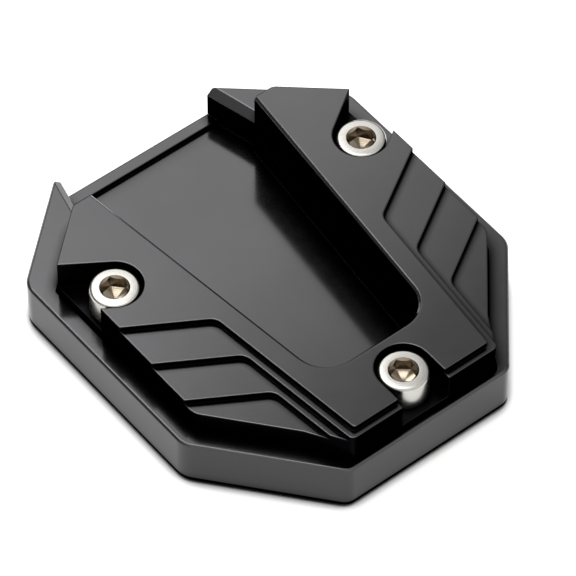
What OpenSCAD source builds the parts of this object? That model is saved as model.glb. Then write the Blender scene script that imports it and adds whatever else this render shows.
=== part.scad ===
// Foot enlarger for a motorbike kickstand: a milled base plate with a raised rim, a stepped
// U-shaped clamp plate lying inside the rim, and three socket head cap screws that hold them.
// Units are millimetres. X runs across the part, +Y to the open mouth, +Z up. The origin is
// on the ground, in the middle of the base plate.

/* [Base plate] */
// Width over the two long sides
base_w = 80.4; // [74:0.2:100]
// Length from the closed nose to the open mouth
base_l = 92; // [88:0.5:110]
// Height of the rim above the ground
rim_h = 11.4; // [9.8:0.1:12.6]
// Width of the straight edge at the mouth
mouth_w = 40; // [39:0.5:46]
// Width of the straight edge at the nose
nose_w = 39.4; // [38:0.2:48]
// How far the slanting sides by the mouth reach back along Y
mouth_run = 17.7; // [15:0.1:20]
// How far the slanting sides by the nose reach forward along Y
nose_run = 24.6; // [22:0.1:27]
// Corner radius of the outline at the long sides
corner_r = 5; // [2:0.5:8]
// Corner radius of the outline at the nose
nose_r = 3; // [1:0.5:5]
// Radius on the tips beside the mouth
tip_r = 1; // [0.4:0.1:2]
// Bevel round the bottom edge
foot_bevel = 1; // [0.2:0.1:2]
// Bevel round the rim's outer top edge
rim_bevel = 0.4; // [0.1:0.1:1]
// Thickness of the floor that the stand's foot rests on
floor_t = 3.2; // [2.4:0.1:4.4]
// Height of the lip at the mouth above that floor
lip_h = 1; // [0.4:0.1:2]
// Width of that lip along Y
lip_w = 2.5; // [1:0.1:5]
// Height of the raised pad under the clamp plate above the floor
pad_h = 5; // [3:0.1:5.4]
// Clear width between the two tips at the mouth
throat_w = 36.7; // [34:0.1:38]
// How much each tip's inner face leans outward from the mouth inward, degrees
throat_angle = 13.4; // [4:0.2:16]
// Bevel on the inner top edge of each tip
throat_bevel = 1.6; // [0.4:0.1:2.4]

/* [Clamp plate] */
// Height of the clamp plate's top face above the ground
top_h = 19.6; // [18.8:0.1:24]
// Distance of the clamp plate's long side from the base plate's
side_set = 4.1; // [3:0.1:5]
// Distance of its slanting side by the mouth from the base plate's
mouth_set = 6.75; // [5.4:0.05:8]
// Distance of its slanting side by the nose from the base plate's
nose_side_set = 4.25; // [3:0.05:4.6]
// Distance of its front from the base plate's nose
nose_set = 1.45; // [1.2:0.05:2.4]
// Distance of the two arm ends from the mouth
arm_set = 13.1; // [12:0.1:18]
// How far the front tab's corners lie inside the nose's corners
tab_in = 2.3; // [1.1:0.1:3.1]
// How far outside the nose's corners the front tab begins
tab_out = 2.9; // [2.3:0.1:4.3]
// Clearance between the clamp plate and the rim around it
rim_gap = 0.4; // [0.1:0.1:0.6]
// Corner radius at the arm ends
arm_r = 2; // [0.6:0.1:3]
// Corner radius at the long side's rear end
hip_r = 4; // [1:0.5:5]
// Corner radius at the front tab
tab_r = 1.5; // [0.5:0.1:2]

/* [Foot slot] */
// Half the width of the slot at the arm ends
slot_x = 20.1; // [18.6:0.1:20.6]
// Lean of each slot side to the axis, degrees
slot_angle = 6.35; // [5.6:0.05:7]
// Distance of the closed end of the slot from the nose
slot_set = 15.9; // [15.2:0.1:20]
// Corner radius at the closed end
slot_r = 7; // [3:0.5:9]
// Bevel round the slot's top edge
slot_bevel = 0.5; // [0.1:0.1:1]

/* [Wing steps] */
// Height of one step
step_h = 1.2; // [0.6:0.1:1.3]
// Distance from the mouth at which the first step meets the long side
step_mouth = 42.9; // [41:0.1:45]
// Distance from step to step along the long side
step_pitch = 10; // [8:0.1:11]
// Slant of the steps across the wings, degrees
step_angle = 31.5; // [24:0.5:36]
// Distance of the first step from the slot side, across
step_off = 4.65; // [4:0.05:5]
// Width of the ledges that run down to the nose
ledge_w = 1.65; // [1:0.05:1.9]
// Width of the ledge along the front
front_ledge = 1.35; // [0.8:0.05:1.6]
// Radius in the bend of each step
bend_r = 3; // [1:0.5:5]
// Corner radius where the first ledge turns along the front
ledge_r = 0.6; // [0.2:0.1:1]

/* [Screws] */
// Distance of each side screw from the long side
screw_set = 9.8; // [9.6:0.1:10.4]
// Distance of the side screws from the mouth
screw_mouth = 33.9; // [33:0.1:35]
// Distance of the front screw from the nose
screw_nose = 8.1; // [7.9:0.1:8.6]
// Outward direction of the side notches, degrees from X
notch_angle = 34; // [26:1:40]
// Thread diameter
thread_d = 6; // [5:0.1:6]
// Head diameter
head_d = 10; // [9:0.1:10.2]
// Head height
head_h = 6; // [5:0.1:6.2]
// Width across flats of the hex recess
hex_af = 5; // [4:0.1:5]
// Depth of the hex recess
hex_deep = 3; // [2:0.1:3.6]
// Length of the shank under the head
shank_l = 12; // [9:0.5:12]
// Bevel on the shank's tip
shank_bevel = 0.8; // [0.2:0.1:1.2]
// Bevel on the head's top edge
head_bevel = 0.6; // [0.2:0.1:0.9]
// How far the head's top lies below the clamp plate's top
head_sink = 0.8; // [0.4:0.1:1.4]
// Clearance around the head in its counterbore
head_gap = 0.7; // [0.4:0.1:0.9]
// Clearance around the shank in the clamp plate
shank_gap = 0.3; // [0.2:0.05:0.5]
// Clearance around the shank in the base plate's threaded hole
thread_gap = 0.05; // [0.02:0.01:0.09]
// How far the hex recesses of the left, right and front screw are turned, degrees
hex_turns = [12, 4, 20]; // [0:60]

/* [Hidden] */
seg = 8;
over = 1;
far = 60;
pad_top = floor_t + pad_h;
half_w = base_w / 2;
half_l = base_l / 2;
seat_z = top_h - head_sink - head_h;
bore_r = head_d / 2 + head_gap;
front_y = nose_set - half_l;
arm_y = half_l - arm_set;
slot_y = slot_set - half_l;
tab_x = nose_w / 2 - tab_in;
tab_root_x = nose_w / 2 + tab_out;
step_y = half_l - step_mouth;
screw_x = half_w - screw_set;
screw_y = half_l - screw_mouth;
black = "#2b2b2e";
steel = "#d8d8d6";

// Where two lines meet; a line is [direction of its normal, distance from the origin].
function meet(a, b) = [a[1] * sin(b[0]) - b[1] * sin(a[0]), b[1] * cos(a[0]) - a[1] * cos(b[0])]
                      / sin(b[0] - a[0]);
// The line through two points that has the outline's inside on its left.
function line_by(p, q) = let(d = (q - p) / norm(q - p)) [atan2(-d[0], d[1]), p[0] * d[1] - p[1] * d[0]];
function moved(ln, by) = [ln[0], ln[1] + by];
// One rounded corner as points on an arc; with no radius, the corner itself.
function rounded(p, c, q, r) = r <= 0 ? [c] :
    let(u = (p - c) / norm(p - c), v = (q - c) / norm(q - c), h = acos(u * v) / 2,
        m = c + (u + v) / norm(u + v) * r / sin(h), s = c + u * r / tan(h) - m, e = c + v * r / tan(h) - m,
        a = atan2(s[1], s[0]), t = atan2(s[0] * e[1] - s[1] * e[0], s * e))
    [for (i = [0:seg]) m + r * [cos(a + t * i / seg), sin(a + t * i / seg)]];
// A closed outline from corners [x, y, radius].
function outline(c) = let(n = len(c), p = [for (k = c) [k[0], k[1]]])
    [for (i = [0:n - 1]) for (k = rounded(p[(i + n - 1) % n], p[i], p[(i + 1) % n], c[i][2])) k];
// The right half of a list of corners with its mirrored left half behind it.
function both(c) = concat(c, [for (i = [len(c) - 1:-1:0]) [-c[i][0], c[i][1], c[i][2]]]);
function with_r(p, r) = [p[0], p[1], r];

// Right-hand lines of the base plate's outline.
mouth_line = line_by([half_w, half_l - mouth_run], [mouth_w / 2, half_l]);
side_line = [0, half_w];
nose_line = line_by([nose_w / 2, -half_l], [half_w, nose_run - half_l]);

// Right-hand lines of the clamp plate's outline, all moved outward by g.
function end_ln(g) = [90, arm_y + g];
function mouth_ln(g) = moved(mouth_line, g - mouth_set);
function side_ln(g) = moved(side_line, g - side_set);
function nose_ln(g) = moved(nose_line, g - nose_side_set);
tab_root = meet([0, tab_root_x], nose_ln(0));
function tab_ln(g) = moved(line_by([tab_x, front_y], tab_root), g);
function front_ln(g) = [-90, g - front_y];
function rim_side(g) = [with_r(meet(mouth_ln(g), end_ln(g)), arm_r + g),
    with_r(meet(side_ln(g), mouth_ln(g)), 0), with_r(meet(nose_ln(g), side_ln(g)), hip_r + g),
    with_r(meet(tab_ln(g), nose_ln(g)), 0), with_r(meet(front_ln(g), tab_ln(g)), tab_r + g)];

// Half the width of the foot slot at y, and of the mouth between the tips.
function slot_half(y) = slot_x - (arm_y - y) * tan(slot_angle);
function throat_half(y) = throat_w / 2 + (half_l - y) * tan(throat_angle);

module plate_outline() {
    polygon(outline(both([[mouth_w / 2, half_l, tip_r], [half_w, half_l - mouth_run, corner_r],
        [half_w, nose_run - half_l, corner_r], [nose_w / 2, -half_l, nose_r]])));
}

// The slab that the base plate is milled from, with its outer edges bevelled.
module slab() hull() {
    translate([0, 0, foot_bevel]) linear_extrude(height = rim_h - foot_bevel - rim_bevel) plate_outline();
    linear_extrude(height = rim_h - rim_bevel) offset(delta = -foot_bevel) plate_outline();
    translate([0, 0, foot_bevel]) linear_extrude(height = rim_h - foot_bevel)
        offset(delta = -rim_bevel) plate_outline();
}

module clamp_outline() {
    right = concat([[slot_half(arm_y), arm_y, 0]], rim_side(0));
    left = [for (i = [len(right) - 1:-1:0]) [-right[i][0], right[i][1], right[i][2]]];
    slot = [[-slot_half(slot_y), slot_y, slot_r], [slot_half(slot_y), slot_y, slot_r]];
    polygon(outline(concat(right, left, slot)));
}

// What the bevel round the slot takes off the clamp plate.
module slot_flare() hull() {
    translate([0, 0, top_h - slot_bevel]) linear_extrude(height = over + slot_bevel) slot_area();
    translate([0, 0, top_h]) linear_extrude(height = over) offset(delta = slot_bevel) slot_area();
}

module slot_area() {
    polygon(outline([[-slot_half(slot_y), slot_y, slot_r], [slot_half(slot_y), slot_y, slot_r],
        [slot_half(far), far, 0], [-slot_half(far), far, 0]]));
}

// The room inside the rim: the clamp plate's outline with its clearance, and the throat.
module tray_outline() {
    e = arm_y + rim_gap;
    y = half_l - lip_w;
    polygon(outline(both(concat([[throat_half(y), y, 0], [throat_half(e), e, 0]], rim_side(rim_gap)))));
}

// What the bevel takes off the right tip, along the whole inner face.
module tip_bevel() {
    run = (arm_set - rim_gap) / cos(throat_angle);
    translate([throat_half(half_l), half_l, rim_h - throat_bevel]) rotate(throat_angle)
        translate([0, over, 0]) rotate([90, 0, 0]) linear_extrude(height = run + 2 * over)
            polygon([[-over, -over], [throat_bevel + over, throat_bevel + over], [-over, throat_bevel + over]]);
}

// What one step takes off the right wing: everything outside its line.
module step_area(k) {
    x1 = half_w - side_set;
    t = tan(step_angle);
    s = tan(slot_angle);
    off = step_off + k * ledge_w;
    y1 = step_y - k * step_pitch;
    bx = (slot_half(0) + off + s * (y1 - t * x1)) / (1 - s * t);
    by = y1 + t * (bx - x1);
    fy = k == 0 ? front_y + front_ledge : -far;
    fx = slot_half(fy) + off;
    polygon(outline([[far, y1 + t * (far - x1), 0], [bx, by, bend_r], [fx, fy, k == 0 ? ledge_r : 0],
        [k == 0 ? 0 : fx, k == 0 ? fy : -far - over, 0], [k == 0 ? 0 : fx, -far - 2 * over, 0],
        [far, -far - 2 * over, 0]]));
}

// A counterbore that runs out through the side of the plate as a U-shaped notch.
module notch(out_angle) {
    circle(r = bore_r, $fn = 72);
    rotate(out_angle) translate([0, -bore_r]) square([far / 2, 2 * bore_r]);
}

module at_screws() {
    translate([-screw_x, screw_y]) rotate(180 - notch_angle) children();
    translate([screw_x, screw_y]) rotate(notch_angle) children();
    translate([0, screw_nose - half_l]) rotate(-90) children();
}

module base_plate() color(black) difference() {
    union() {
        difference() {
            slab();
            translate([0, 0, floor_t]) linear_extrude(height = rim_h) tray_outline();
            translate([0, 0, floor_t + lip_h]) linear_extrude(height = rim_h)
                polygon([for (k = [[1, -0.5], [1, over + lip_w], [-1, over + lip_w], [-1, -0.5]])
                    let(y = half_l - lip_w + k[1]) [k[0] * throat_half(y), y]]);
            for (m = [0:1]) mirror([m, 0, 0]) tip_bevel();
        }
        translate([0, 0, floor_t / 2]) linear_extrude(height = pad_top - floor_t / 2) clamp_outline();
    }
    at_screws() translate([0, 0, -over])
        cylinder(r = thread_d / 2 + thread_gap, h = pad_top + 2 * over, $fn = 48);
}

module clamp_plate() color(black) difference() {
    translate([0, 0, pad_top]) linear_extrude(height = top_h - pad_top) clamp_outline();
    for (k = [0:2]) for (m = [0:1]) mirror([m, 0, 0])
        translate([0, 0, top_h - (k + 1) * step_h]) linear_extrude(height = far / 2) step_area(k);
    slot_flare();
    at_screws() {
        translate([0, 0, seat_z]) linear_extrude(height = far / 2) notch(0);
        cylinder(r = thread_d / 2 + shank_gap, h = top_h, $fn = 48);
    }
}

module cap_screw(turn) color(steel) translate([0, 0, seat_z]) difference() {
    rotate_extrude($fn = 72) polygon([[0, -shank_l], [thread_d / 2 - shank_bevel, -shank_l],
        [thread_d / 2, shank_bevel - shank_l], [thread_d / 2, 0], [head_d / 2, 0],
        [head_d / 2, head_h - head_bevel], [head_d / 2 - head_bevel, head_h], [0, head_h]]);
    translate([0, 0, head_h - hex_deep]) rotate(turn)
        cylinder(r = hex_af / 2 / cos(30), h = hex_deep + over, $fn = 6);
}

module screw_left() translate([-screw_x, screw_y]) cap_screw(hex_turns[0]);
module screw_right() translate([screw_x, screw_y]) cap_screw(hex_turns[1]);
module screw_front() translate([0, screw_nose - half_l]) cap_screw(hex_turns[2]);

base_plate();
clamp_plate();
screw_left();
screw_right();
screw_front();
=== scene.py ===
import math

import bpy
import bmesh
from mathutils import Matrix, Vector


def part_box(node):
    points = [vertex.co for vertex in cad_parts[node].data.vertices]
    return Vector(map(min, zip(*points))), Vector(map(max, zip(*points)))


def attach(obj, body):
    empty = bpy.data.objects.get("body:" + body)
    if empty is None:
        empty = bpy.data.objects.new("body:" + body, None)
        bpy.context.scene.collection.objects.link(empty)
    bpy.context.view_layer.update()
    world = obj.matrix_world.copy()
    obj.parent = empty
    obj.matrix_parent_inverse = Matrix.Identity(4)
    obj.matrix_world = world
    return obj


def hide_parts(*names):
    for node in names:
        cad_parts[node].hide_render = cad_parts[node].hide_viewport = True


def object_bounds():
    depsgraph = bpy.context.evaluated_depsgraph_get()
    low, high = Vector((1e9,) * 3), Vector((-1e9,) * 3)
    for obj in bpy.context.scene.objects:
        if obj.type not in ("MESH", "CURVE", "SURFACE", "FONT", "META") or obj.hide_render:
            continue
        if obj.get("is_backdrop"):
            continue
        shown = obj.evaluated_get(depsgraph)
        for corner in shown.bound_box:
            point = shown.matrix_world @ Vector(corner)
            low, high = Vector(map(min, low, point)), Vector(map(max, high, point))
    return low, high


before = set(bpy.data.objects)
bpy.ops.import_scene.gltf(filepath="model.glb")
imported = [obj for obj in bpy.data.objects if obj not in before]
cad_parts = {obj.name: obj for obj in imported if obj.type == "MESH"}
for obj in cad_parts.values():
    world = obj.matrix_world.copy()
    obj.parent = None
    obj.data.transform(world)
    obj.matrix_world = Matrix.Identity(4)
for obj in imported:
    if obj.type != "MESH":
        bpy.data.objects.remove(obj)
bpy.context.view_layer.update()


# Base plate: milled from a slab of aluminium, with a rim round the clamp plate, a floor that the
# stand's foot rests on and a low lip at the mouth. Anodised gloss black, with threaded holes for
# the three screws.

MM = 0.001

# The flank colour is painted shade: darker than the dye, so that upright faces look black.
BLACK_DYE = ("#565657", "#5d5d5e")
FLANK_PAINTED_SHADE = "#1a1a1c"
INNER_CORNER = "#060607"
DYE_CLOUD = 14 * MM
POLISH_HAZE = 3 * MM
FACE_ROUGH = (0.12, 0.16)
FLANK_ROUGH = 0.22
FLANK_SLOPE = (0.5, 0.2)
CORNER_OPENNESS = (0.97, 0.6)
GLARE_LEFT = 0.1
GRAIN, GRAIN_HEIGHT, GRAIN_SHOWS = 0.35 * MM, 0.02 * MM, 0.05

# Outward-looking flanks of the base get half the rougher finish and half the painted shade.
BASE_OUTSIDE_ROUGH_AND_SHADE = 0.5
# The base's lowest 1.7 mm is rougher and painted dark: painted shade of the foot in its own shadow.
BASE_DARK_FOOT = 1.7 * MM
BASE_EDGE_R = 0.4 * MM
BASE_CORNER_REACH = 3.4 * MM


def linear(hex_colour):
    parts = [int(hex_colour[i:i + 2], 16) / 255 for i in (1, 3, 5)]
    return tuple(c / 12.92 if c <= 0.04045 else ((c + 0.055) / 1.055) ** 2.4 for c in parts) + (1.0,)


def add_node(material, kind, values=None, links=None, **settings):
    node = material.node_tree.nodes.new(kind)
    for name, value in settings.items():
        setattr(node, name, value)
    for socket, value in (values or {}).items():
        node.inputs[socket].default_value = value
    for socket, source in (links or {}).items():
        material.node_tree.links.new(source, node.inputs[socket])
    return node


def new_material(name):
    material = bpy.data.materials.new(name)
    material.use_nodes = True
    material.node_tree.nodes.clear()
    return material


# Sealed black anodising on a finely milled face is a dark mirror: it takes its greys from what it
# reflects, and is black where it reflects another black face. The side of the end mill leaves the
# flanks rougher; their colour and glare are also taken down towards black, which is painted shade.
# The grain is drawn ten times as coarse as the real one, or it wouldn't show.
def gloss_black_anodised(name, outside_rough_and_shade, dark_below, edge_r, corner_reach):
    m = new_material(name)
    place = add_node(m, "ShaderNodeTexCoord").outputs["Object"]
    cloud = add_node(m, "ShaderNodeTexNoise", {"Scale": 1 / DYE_CLOUD, "Detail": 3.0}, {"Vector": place})
    dye = add_node(m, "ShaderNodeMix", {"A": linear(BLACK_DYE[0]), "B": linear(BLACK_DYE[1])},
                   {"Factor": cloud.outputs["Fac"]}, data_type="RGBA")
    haze = add_node(m, "ShaderNodeTexNoise", {"Scale": 1 / POLISH_HAZE, "Detail": 4.0}, {"Vector": place})
    face_rough = add_node(m, "ShaderNodeMapRange", {"To Min": FACE_ROUGH[0], "To Max": FACE_ROUGH[1]},
                          {"Value": haze.outputs["Fac"]})

    # Flanks, made rougher and painted dark as painted shade: upright faces, in full where they look
    # inward, in part where they look outward, and everything below the height dark_below.
    normal = add_node(m, "ShaderNodeNewGeometry").outputs["True Normal"]
    lean = add_node(m, "ShaderNodeSeparateXYZ", links={"Vector": normal})
    slope = add_node(m, "ShaderNodeMath", links={0: lean.outputs["Z"]}, operation="ABSOLUTE")
    upright = add_node(m, "ShaderNodeMapRange", {"From Min": FLANK_SLOPE[0], "From Max": FLANK_SLOPE[1]},
                       {"Value": slope.outputs[0]})
    from_middle = add_node(m, "ShaderNodeVectorMath", {1: (1.0, 1.0, 0.0)}, {0: place}, operation="MULTIPLY")
    outward = add_node(m, "ShaderNodeVectorMath", links={0: normal, 1: from_middle.outputs["Vector"]},
                       operation="DOT_PRODUCT")
    inward = add_node(m, "ShaderNodeMath", {1: 0.0}, {0: outward.outputs["Value"]}, operation="LESS_THAN")
    side_rough_and_shade = add_node(m, "ShaderNodeMath", {1: outside_rough_and_shade}, {0: inward.outputs[0]}, operation="MAXIMUM")
    upright_rough_and_shade = add_node(m, "ShaderNodeMath", links={0: upright.outputs["Result"], 1: side_rough_and_shade.outputs[0]},
                           operation="MULTIPLY")
    height = add_node(m, "ShaderNodeSeparateXYZ", links={"Vector": place})
    below_in_shade = add_node(m, "ShaderNodeMath", {1: dark_below}, {0: height.outputs["Z"]}, operation="LESS_THAN")
    flank = add_node(m, "ShaderNodeMath", links={0: upright_rough_and_shade.outputs[0], 1: below_in_shade.outputs[0]},
                     operation="MAXIMUM")
    colour = add_node(m, "ShaderNodeMix", {"B": linear(FLANK_PAINTED_SHADE)},
                      {"Factor": flank.outputs[0], "A": dye.outputs["Result"]}, data_type="RGBA")
    rough = add_node(m, "ShaderNodeMapRange", {"To Max": FLANK_ROUGH},
                     {"Value": flank.outputs[0], "To Min": face_rough.outputs["Result"]})

    # Inner corners: no light gets in, so colour and glare fall off towards them.
    openness = add_node(m, "ShaderNodeAmbientOcclusion", {"Distance": corner_reach}, samples=8)
    corner = add_node(m, "ShaderNodeMapRange", {"From Min": CORNER_OPENNESS[0], "From Max": CORNER_OPENNESS[1]},
                      {"Value": openness.outputs["AO"]})
    shaded = add_node(m, "ShaderNodeMix", {"B": linear(INNER_CORNER)},
                      {"Factor": corner.outputs["Result"], "A": colour.outputs["Result"]}, data_type="RGBA")
    hidden = add_node(m, "ShaderNodeMath", links={0: flank.outputs[0], 1: corner.outputs["Result"]},
                      operation="MAXIMUM")
    glare = add_node(m, "ShaderNodeMapRange", {"From Min": 0.5, "To Min": 1.0, "To Max": GLARE_LEFT},
                     {"Value": hidden.outputs[0]})

    grain = add_node(m, "ShaderNodeTexNoise", {"Scale": 1 / GRAIN, "Detail": 2.0}, {"Vector": place})
    deburred = add_node(m, "ShaderNodeBevel", {"Radius": edge_r}, samples=8)
    bump = add_node(m, "ShaderNodeBump", {"Strength": GRAIN_SHOWS, "Distance": GRAIN_HEIGHT},
                    {"Height": grain.outputs["Fac"], "Normal": deburred.outputs["Normal"]})
    finish = add_node(m, "ShaderNodeBsdfPrincipled", {"Metallic": 1.0},
                      {"Base Color": shaded.outputs["Result"], "Roughness": rough.outputs["Result"],
                       "Specular Tint": glare.outputs["Result"], "Normal": bump.outputs["Normal"]})
    add_node(m, "ShaderNodeOutputMaterial", links={"Surface": finish.outputs["BSDF"]})
    return m


def dress(name, material):
    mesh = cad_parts[name].data
    mesh.materials.clear()
    mesh.materials.append(material)


dress("base_plate", gloss_black_anodised("black_anodised_base", BASE_OUTSIDE_ROUGH_AND_SHADE, BASE_DARK_FOOT,
                                         BASE_EDGE_R, BASE_CORNER_REACH))


# Clamp plate: a U milled from the same slab stock, with wings that step down outward. Three
# screws hold it down inside the rim. Anodised in the same bath as the base plate; all its
# flanks and the floors of its notches are rougher and painted dark, as painted shade.

# Every flank of the clamp gets the full rougher finish and painted shade.
CLAMP_OUTSIDE_ROUGH_AND_SHADE = 1.0
# Below this height, which takes in the floors of the notches, the clamp is rougher and painted dark as painted
# shade.
NOTCH_FLOORS_BELOW = 15.5 * MM
CLAMP_EDGE_R = 0.34 * MM
CLAMP_CORNER_REACH = 1.8 * MM

dress("clamp_plate", gloss_black_anodised("black_anodised_clamp", CLAMP_OUTSIDE_ROUGH_AND_SHADE, NOTCH_FLOORS_BELOW,
                                          CLAMP_EDGE_R, CLAMP_CORNER_REACH))


# Screws: M6 socket head cap screws of bright stainless steel, through the clamp plate into the
# base plate's threads. Heads turned with a rounded edge, hex recesses pressed in, threads rolled.

HEAD_R, HEAD_H, EDGE_R, EDGE_STEPS = 5 * MM, 6 * MM, 0.7 * MM, 6
UNDER_BEVEL = 0.2 * MM
HEX_HALF, HEX_DEEP, HEX_MOUTH_R, HEX_CONE = 2.5 * MM, 3 * MM, 3.0 * MM, 0.8 * MM
SIXTH_TURN = math.pi / 3
THREAD_R, THREAD_DEEP, PITCH = 3 * MM, 0.5 * MM, 1 * MM
SHANK_L, TIP_BEVEL = 12 * MM, 0.8 * MM
RINGS_A_PITCH, RUN_OUT_RINGS = 4, 3
ROUND = 72
SHARP_FROM = math.radians(28)
TURNED_FACE, PRESSED_FACE, PRESSED_RINGS = 0, 1, 2


def ring_at(build, radius, height):
    ring = []
    for i in range(ROUND):
        turn = 2 * math.pi * i / ROUND
        r, z = (f(turn) if callable(f) else f for f in (radius, height))
        ring.append(build.verts.new((r * math.cos(turn), r * math.sin(turn), z)))
    return ring


def hex_radius(turn):
    return HEX_HALF / math.cos(turn % SIXTH_TURN - SIXTH_TURN / 2)


# From the cone at the recess's bottom, out over the head and down the thread to the tip.
def socket_screw(name):
    build = bmesh.new()
    cone_tip = build.verts.new((0, 0, -HEX_DEEP - HEX_CONE))
    rings = [ring_at(build, hex_radius, -HEX_DEEP),
             ring_at(build, hex_radius, lambda turn: hex_radius(turn) - HEX_MOUTH_R),
             ring_at(build, HEX_MOUTH_R, 0.0)]
    for i in range(EDGE_STEPS + 1):
        a = math.pi / 2 * (1 - i / EDGE_STEPS)
        rings.append(ring_at(build, HEAD_R - EDGE_R * (1 - math.cos(a)), EDGE_R * (math.sin(a) - 1)))
    rings += [ring_at(build, HEAD_R, -HEAD_H + UNDER_BEVEL), ring_at(build, HEAD_R - UNDER_BEVEL, -HEAD_H),
              ring_at(build, THREAD_R, -HEAD_H)]
    steps = int(SHANK_L / PITCH) * RINGS_A_PITCH
    for i in range(1, steps):
        def groove(turn, i=i):
            wave = (i / RINGS_A_PITCH + turn / (2 * math.pi)) % 1
            run_out = min(1, (steps - i) / RUN_OUT_RINGS)
            return THREAD_R - THREAD_DEEP * (1 - abs(2 * wave - 1)) * run_out
        rings.append(ring_at(build, groove, -HEAD_H - SHANK_L * i / steps))
    rings.append(ring_at(build, THREAD_R - TIP_BEVEL, -HEAD_H - SHANK_L))
    for i in range(ROUND):
        j = (i + 1) % ROUND
        build.faces.new((rings[0][i], rings[0][j], cone_tip)).material_index = PRESSED_FACE
        for k, (inner, outer) in enumerate(zip(rings, rings[1:])):
            face = build.faces.new((inner[i], outer[i], outer[j], inner[j]))
            face.material_index = PRESSED_FACE if k < PRESSED_RINGS else TURNED_FACE
    build.faces.new(rings[-1])
    bmesh.ops.recalc_face_normals(build, faces=build.faces)
    mesh = bpy.data.meshes.new(name)
    build.to_mesh(mesh)
    build.free()
    return mesh


# Turned stainless steel is nearly white under soft light, with faint rings from the lathe. They
# are drawn 1.2 mm apart, because real ones, a tenth of that, are too fine to show.
LATHE_RINGS, LATHE_DEPTH, LATHE_SHOWS = 1.2 * MM, 0.01 * MM, 0.15
STEEL_CLOUD = 2 * MM


def bright_stainless(name, low, high, rough):
    m = new_material(name)
    place = add_node(m, "ShaderNodeTexCoord").outputs["Object"]
    cloud = add_node(m, "ShaderNodeTexNoise", {"Scale": 1 / STEEL_CLOUD, "Detail": 3.0}, {"Vector": place})
    tone = add_node(m, "ShaderNodeMix", {"A": linear(low), "B": linear(high)},
                    {"Factor": cloud.outputs["Fac"]}, data_type="RGBA")
    rings = add_node(m, "ShaderNodeTexWave", {"Scale": 1 / LATHE_RINGS, "Distortion": 0.6, "Detail": 2.0},
                     {"Vector": place}, wave_type="RINGS", rings_direction="Z")
    bump = add_node(m, "ShaderNodeBump", {"Strength": LATHE_SHOWS, "Distance": LATHE_DEPTH},
                    {"Height": rings.outputs["Fac"]})
    finish = add_node(m, "ShaderNodeBsdfPrincipled", {"Metallic": 1.0, "Roughness": rough},
                      {"Base Color": tone.outputs["Result"], "Normal": bump.outputs["Normal"]})
    add_node(m, "ShaderNodeOutputMaterial", links={"Surface": finish.outputs["BSDF"]})
    return m


# The recess is pressed by a punch that leaves it smoother, and its colour is darker and browner than the
# head's.
stainless = bright_stainless("bright_stainless_steel", "#bebbb5", "#cdcbc6", rough=0.24)
pressed_recess = bright_stainless("pressed_hex_recess", "#8d8172", "#a89d8d", rough=0.16)
for screw, turned in (("screw_left", 12), ("screw_right", 4), ("screw_front", 20)):
    low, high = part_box(screw)
    mesh = socket_screw(screw + "_dressed")
    mesh.transform(Matrix.Rotation(math.radians(turned), 4, "Z"))
    mesh.materials.append(stainless)
    mesh.materials.append(pressed_recess)
    mesh.shade_smooth()
    mesh.set_sharp_from_angle(angle=SHARP_FROM)
    piece = bpy.data.objects.new(screw + "_dressed", mesh)
    piece.location = ((low[0] + high[0]) / 2, (low[1] + high[1]) / 2, high[2])
    bpy.context.scene.collection.objects.link(piece)
    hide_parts(screw)
    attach(piece, "root")


# Studio: a white floor that keeps the shadow, a white surround that is brightest on the camera's
# side, a key lamp overhead, and a soft box at the back. The soft box is two lamps whose edges lie
# a little apart, so that its reflection in the black faces fades out.

FLOOR_HALF = 1.5
PAPER, PAINTED_CONTACT_SHADOW = "#f4f4f3", "#30302f"
CONTACT_REACH, CONTACT_OPENNESS = 3 * MM, (0.35, 0.75)
GLOW_TO_CAMERA, GLOW_TO_GLOSS = 0.5, 0.4
BRIGHT_SIDE, BRIGHT_EDGES, BRIGHT_LEVELS = (-0.1, -0.6, 0.79), (0.1, 0.95), (0.2, 1.0)
TO_KEY = (0.0, 0.33, 0.94)
TO_SOFTBOX, SOFTBOX_EDGE, SOFTBOX_SIZE = (0.394, 0.494, 0.775), (-0.297, 1.226, -0.632), 0.5
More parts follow.
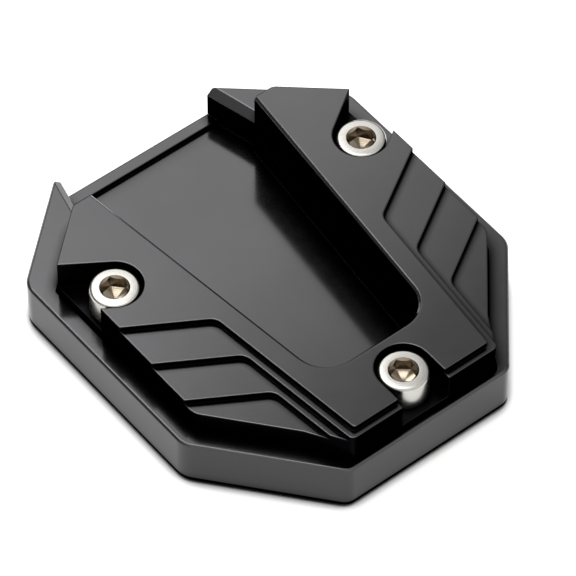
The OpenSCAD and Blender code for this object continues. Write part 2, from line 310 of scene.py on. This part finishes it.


# Matt white paper, lit to an even white. Where the part rests, a painted contact shadow darkens its
# colour and glow, down to a dark line at the edge, on top of the lamps' own soft shadow.
# Polished faces see it darker than the camera does.
def white_floor():
    mesh = bpy.data.meshes.new("studio_floor")
    build = bmesh.new()
    build.faces.new([build.verts.new((x * FLOOR_HALF, y * FLOOR_HALF, 0))
                     for x, y in ((-1, -1), (1, -1), (1, 1), (-1, 1))])
    build.to_mesh(mesh)
    build.free()
    floor = bpy.data.objects.new("studio_floor", mesh)
    bpy.context.scene.collection.objects.link(floor)
    m = new_material("white_sweep")
    rays = add_node(m, "ShaderNodeLightPath")
    openness = add_node(m, "ShaderNodeAmbientOcclusion", {"Distance": CONTACT_REACH}, samples=12)
    clear = add_node(m, "ShaderNodeMapRange",
                     {"From Min": CONTACT_OPENNESS[0], "From Max": CONTACT_OPENNESS[1]},
                     {"Value": openness.outputs["AO"]})
    seen = add_node(m, "ShaderNodeMath", {1: GLOW_TO_CAMERA}, {0: rays.outputs["Is Camera Ray"]},
                    operation="MULTIPLY")
    seen_clear = add_node(m, "ShaderNodeMath", links={0: seen.outputs[0], 1: clear.outputs["Result"]},
                          operation="MULTIPLY")
    lift = add_node(m, "ShaderNodeMath", {1: GLOW_TO_GLOSS},
                    {0: rays.outputs["Is Glossy Ray"], 2: seen_clear.outputs[0]}, operation="MULTIPLY_ADD")
    tone = add_node(m, "ShaderNodeMix", {"A": linear(PAINTED_CONTACT_SHADOW), "B": linear(PAPER)},
                    {"Factor": clear.outputs["Result"]}, data_type="RGBA")
    paper = add_node(m, "ShaderNodeBsdfDiffuse", links={"Color": tone.outputs["Result"]})
    glow = add_node(m, "ShaderNodeEmission", links={"Strength": lift.outputs[0]})
    both = add_node(m, "ShaderNodeAddShader", links={0: paper.outputs[0], 1: glow.outputs[0]})
    add_node(m, "ShaderNodeOutputMaterial", links={"Surface": both.outputs[0]})
    mesh.materials.append(m)
    floor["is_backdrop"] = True


# Plain white to the camera. As light and in reflections it falls from white to a dim grey.
def white_surround():
    world = bpy.data.worlds.new("white_surround")
    bpy.context.scene.world = world
    world.use_nodes = True
    world.node_tree.nodes.clear()
    rays = add_node(world, "ShaderNodeLightPath")
    toward_sky = add_node(world, "ShaderNodeTexCoord").outputs["Generated"]
    near_bright = add_node(world, "ShaderNodeVectorMath", {1: BRIGHT_SIDE}, {0: toward_sky},
                           operation="DOT_PRODUCT")
    band = add_node(world, "ShaderNodeMapRange",
                    {"From Min": BRIGHT_EDGES[0], "From Max": BRIGHT_EDGES[1],
                     "To Min": BRIGHT_LEVELS[0], "To Max": BRIGHT_LEVELS[1]},
                    {"Value": near_bright.outputs["Value"]})
    level = add_node(world, "ShaderNodeMapRange", {"To Max": 1.0},
                     {"Value": rays.outputs["Is Camera Ray"], "To Min": band.outputs["Result"]})
    sky = add_node(world, "ShaderNodeBackground", {"Color": (1, 1, 1, 1)},
                   {"Strength": level.outputs["Result"]})
    add_node(world, "ShaderNodeOutputWorld", links={"Surface": sky.outputs[0]})


# A square lamp that faces the object. Its width runs along edge_along, and it is shifted that way.
def soft_lamp(name, toward_lamp, distance, size, level, edge_along=(1, 0, 0), shift=0.0):
    aim = Vector(toward_lamp).normalized()
    across = Vector(edge_along)
    across = (across - aim * across.dot(aim)).normalized()
    data = bpy.data.lights.new(name, "AREA")
    data.shape = "SQUARE"
    data.size = size
    data.energy = level * math.pi * size ** 2
    lamp = bpy.data.objects.new(name, data)
    lamp.rotation_euler = Matrix((across, aim.cross(across), aim)).transposed().to_euler()
    lamp.location = aim * distance + across * shift
    bpy.context.scene.collection.objects.link(lamp)


white_floor()
white_surround()
soft_lamp("key_lamp", TO_KEY, distance=1.3, size=0.8, level=3.5)
soft_lamp("back_softbox", TO_SOFTBOX, distance=1.0, size=SOFTBOX_SIZE, level=0.68,
          edge_along=SOFTBOX_EDGE, shift=0.2)
soft_lamp("back_softbox_inner", TO_SOFTBOX, distance=1.01, size=SOFTBOX_SIZE, level=0.6,
          edge_along=SOFTBOX_EDGE, shift=0.25)


# Camera: the photograph's viewpoint, a long lens held high over the closed end of the slot.

AZIMUTH = math.radians(-38.59)
ELEVATION = math.radians(50.79)
DISTANCE = 920.5 * MM
TARGET = Vector((1.37, -1.25, 7.0)) * MM
SENSOR = 36.0
FOCAL_PX, FRAME_PX = 4732, 576

toward_camera = Vector((math.sin(AZIMUTH) * math.cos(ELEVATION), -math.cos(AZIMUTH) * math.cos(ELEVATION),
                        math.sin(ELEVATION)))
camera_data = bpy.data.cameras.new("camera")
camera_data.sensor_width = SENSOR
camera_data.lens = FOCAL_PX / FRAME_PX * SENSOR
camera_data.clip_start = 0.05
camera_data.clip_end = 20
camera = bpy.data.objects.new("camera", camera_data)
camera.location = TARGET + toward_camera * DISTANCE
camera.rotation_euler = (-toward_camera).to_track_quat("-Z", "Y").to_euler()
bpy.context.scene.collection.objects.link(camera)
bpy.context.scene.camera = camera
bpy.context.scene.view_settings.view_transform = "Standard"

low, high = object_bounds()
